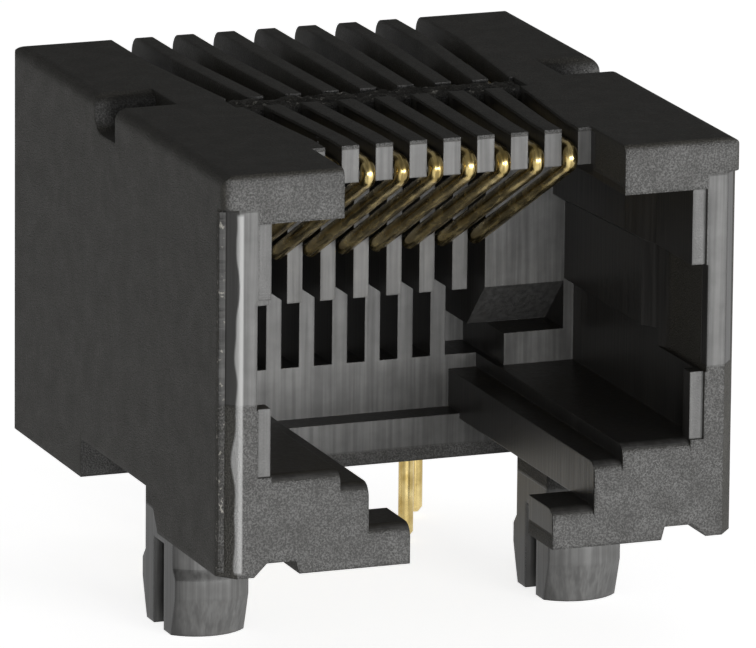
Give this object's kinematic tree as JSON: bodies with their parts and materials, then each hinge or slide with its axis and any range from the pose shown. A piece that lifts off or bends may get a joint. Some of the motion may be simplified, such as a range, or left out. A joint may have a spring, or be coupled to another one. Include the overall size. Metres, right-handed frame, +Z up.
{
  "type": "side-entry modular board jack",
  "caption": "Side-entry modular network jack for a circuit board, with latch slot, formed round-wire contacts and split board-lock posts.",
  "frame": {"origin": "on the board plane, midway between the axes of the two board-lock posts", "axes": "+X across the port, -Y out of the plug port, +Z up from the board to the roof"},
  "size_m": [0.0154, 0.018, 0.0149],
  "materials": {
    "housing": "black moulded thermoplastic, fine spark-eroded grain outside, smoother inside",
    "contacts": "gold-plated copper-alloy wire"
  },
  "bodies": {
    "root": {"housing": "housing", "contact_1": "contacts", "contact_2": "contacts", "contact_3": "contacts", "contact_4": "contacts", "contact_5": "contacts", "contact_6": "contacts", "contact_7": "contacts", "contact_8": "contacts"}
  },
  "joints": []
}
